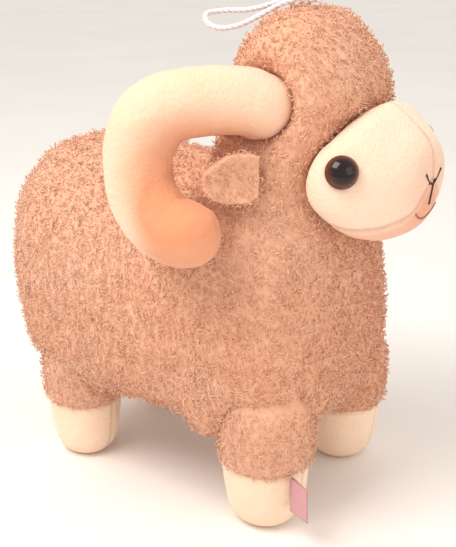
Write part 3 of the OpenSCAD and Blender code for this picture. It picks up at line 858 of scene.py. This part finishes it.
# Legs and feet ------------------------------------------------------------------------------
# Each leg is a fleece sleeve over a stuffed stub, gathered to the body at the top. A cream
# velour foot is sewn to its lower edge, with one seam up the front and a flat round sole.
foot_velour = velour("foot_velour", tone(251, 222, 196), tone(247, 209, 180), tone(238, 180, 144))
for end in ("front", "hind"):
    for side in ("right", "left"):
        leg_name = end + "_" + side
        sleeve_node, foot_node, filling_node = (
            end + "_leg_sleeve_" + side, end + "_foot_" + side, end + "_leg_filling_" + side)
        leg_body = end + "_" + side + "_leg"
        leg = skin_over("leg_" + leg_name, [sleeve_node, foot_node, filling_node], 0.0035, 3)
        leg_rest = keep_rest(leg.data)
        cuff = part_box(sleeve_node)[0].z
        near_cuff = 1 - fade(abs(leg_rest[:, 2] - cuff), 0.001, 0.004)
        sole = 1 - fade(leg_rest[:, 2], 0.001, 0.006)
        stuff(leg, np.maximum(near_cuff, sole), 0.0014)
        refine(leg, 2)
        leg_rest = rest_points(leg.data)
        foot_low, foot_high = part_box(foot_node)
        foot_middle = (foot_low + foot_high) / 2
        below = leg_rest[:, 2] < cuff
        ahead = leg_rest[:, 0] > foot_middle.x
        toe_seam = (1 - fade(abs(leg_rest[:, 1] - foot_middle.y), 0.0, 0.0013)) * below * ahead
        cuff_crease = 1 - fade(abs(leg_rest[:, 2] - cuff), 0.0, 0.0025)
        high = fade(leg_rest[:, 2], cuff, cuff + 0.003)
        push_out(leg.data, 0.0005 * ripple(leg_rest, 0.010, 11) * fade(leg_rest[:, 2], 0.002, 0.01)
                 - 0.0006 * toe_seam - 0.0010 * cuff_crease + 0.0008 * high)
        leg_points = coordinates(leg.data)
        leg_points[:, 2] = np.maximum(leg_points[:, 2], 0.0002)
        place(leg.data, leg_points)
        # Painted shade in the toe seam crease.
        paint(leg.data, "seam", toe_seam * 0.6)
        # Painted shade: orange near the floor and in the crease under the cuff.
        paint(leg.data, "warm", 0.25 * (1 - fade(leg_rest[:, 2], 0.0, 0.012)) + 0.3 * cuff_crease)
        paint(leg.data, "curls", fade(leg_rest[:, 2], cuff + 0.0005, cuff + 0.0015)
              * (1 - fade(leg_rest[:, 2], foot_high.z + 0.028, foot_high.z + 0.034)))
        for part, keep_high in (("sleeve", True), ("foot", False)):
            half = bmesh.new()
            half.from_mesh(leg.data)
            spare = [f for f in half.faces if (f.calc_center_median().z > cuff) != keep_high]
            bmesh.ops.delete(half, geom=spare, context="FACES")
            rim = [e for e in half.edges if e.is_boundary]
            bmesh.ops.contextual_create(half, geom=rim)
            bmesh.ops.recalc_face_normals(half, faces=half.faces)
            mesh = bpy.data.meshes.new(part + "_" + leg_name)
            half.to_mesh(mesh)
            half.free()
            mesh.shade_smooth()
            mesh.materials.clear()
            mesh.materials.append(fleece.material if keep_high else foot_velour)
            piece = link(part + "_" + leg_name, mesh)
            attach(piece, leg_body)
            if keep_high:
                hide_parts(sleeve_node, filling_node)
                grow("sleeve_" + leg_name + "_curls", piece, "curls", leg_body, 30)
            else:
                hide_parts(foot_node)
        bpy.data.objects.remove(leg)


# Tail ---------------------------------------------------------------------------------------
# A small flat tab of fleece, sewn to the rump by its upper edge.
tail = skin_over("stuffed_tail", ["tail"], 0.002, 3)
refine(tail, 1)
paint(tail.data, "curls", np.ones(len(tail.data.vertices)))
tail.data.materials.clear()
tail.data.materials.append(fleece.material)
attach(tail, "tail")
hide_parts("tail")
grow("tail_curls", tail, "curls", "tail", 50)


# Care label ---------------------------------------------------------------------------------
# A folded piece of white satin tape caught in the side seam of the right front foot, coloured in
# its shaded pinkish tone as painted shade. A plain dark bar stands for its print.
label_cloth = Finish("label_tape", {"Roughness": 0.45, "Sheen Weight": 0.2})
weave = label_cloth.grain(0.0004)
# Painted shade: the white satin is coloured in its shaded pinkish tones.
label_shade_colour = label_cloth.mix(weave * 0.3, tone(206, 152, 158), tone(184, 128, 132))
label_cloth.feed("Base Color", label_cloth.mix(
    label_cloth.painted("bar"), label_shade_colour, tone(70, 44, 48)))
label_cloth.bump(weave, 0.0001)
label_low, label_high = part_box("care_label")
label_points = coordinates(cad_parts["care_label"].data)
foot_centre = (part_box("front_foot_right")[0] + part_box("front_foot_right")[1]) / 2
spans = np.hypot(label_points[:, 0] - foot_centre.x, label_points[:, 1] - foot_centre.y)
edge_width = 0.0008
sewn_edge = label_points[spans < spans.min() + edge_width].mean(axis=0)
free_edge = label_points[spans > spans.max() - edge_width].mean(axis=0)
label_out = Vector((free_edge[0] - sewn_edge[0], free_edge[1] - sewn_edge[1], 0))
label_reach = label_out.length
label_out.normalize()
label_side = Vector((-label_out.y, label_out.x, 0))
label_tall = label_high.z - label_low.z
tape_gap = 0.0005
tape_thickness = 0.00022
tape_sway = 0.0004
bar_start, bar_end = 0.25, 0.72
bar_foot, bar_top = 0.30, 0.52
across_parts = 24
tall_parts = 16
tape = bmesh.new()
bar = tape.verts.layers.float.new("bar")
grid = []
for i in range(across_parts + 1):
    share = i / across_parts
    run = 1 - abs(2 * share - 1)
    offset = tape_gap * math.cos(math.pi * share) * min(1.0, 3 * (1 - run) + 0.15)
    column = []
    for k in range(tall_parts + 1):
        rise = k / tall_parts
        sway = tape_sway * math.sin(2.2 * rise + 2.5 * run)
        point = Vector((sewn_edge[0], sewn_edge[1], label_low.z + label_tall * rise))
        point += label_out * label_reach * run + label_side * (offset + sway * run)
        vert = tape.verts.new(point)
        inside = bar_start < run < bar_end and bar_foot < rise < bar_top and share < 0.5
        vert[bar] = 1.0 if inside else 0.0
        column.append(vert)
    grid.append(column)
for i in range(across_parts):
    for k in range(tall_parts):
        tape.faces.new((grid[i][k], grid[i + 1][k], grid[i + 1][k + 1], grid[i][k + 1]))
mesh = bpy.data.meshes.new("care_tape")
tape.to_mesh(mesh)
tape.free()
mesh.shade_smooth()
mesh.materials.append(label_cloth.material)
care_tape = link("care_tape", mesh)
wall = care_tape.modifiers.new("wall", "SOLIDIFY")
wall.thickness = tape_thickness
wall.offset = 0
settle(care_tape)
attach(care_tape, "label")
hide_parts("care_label")
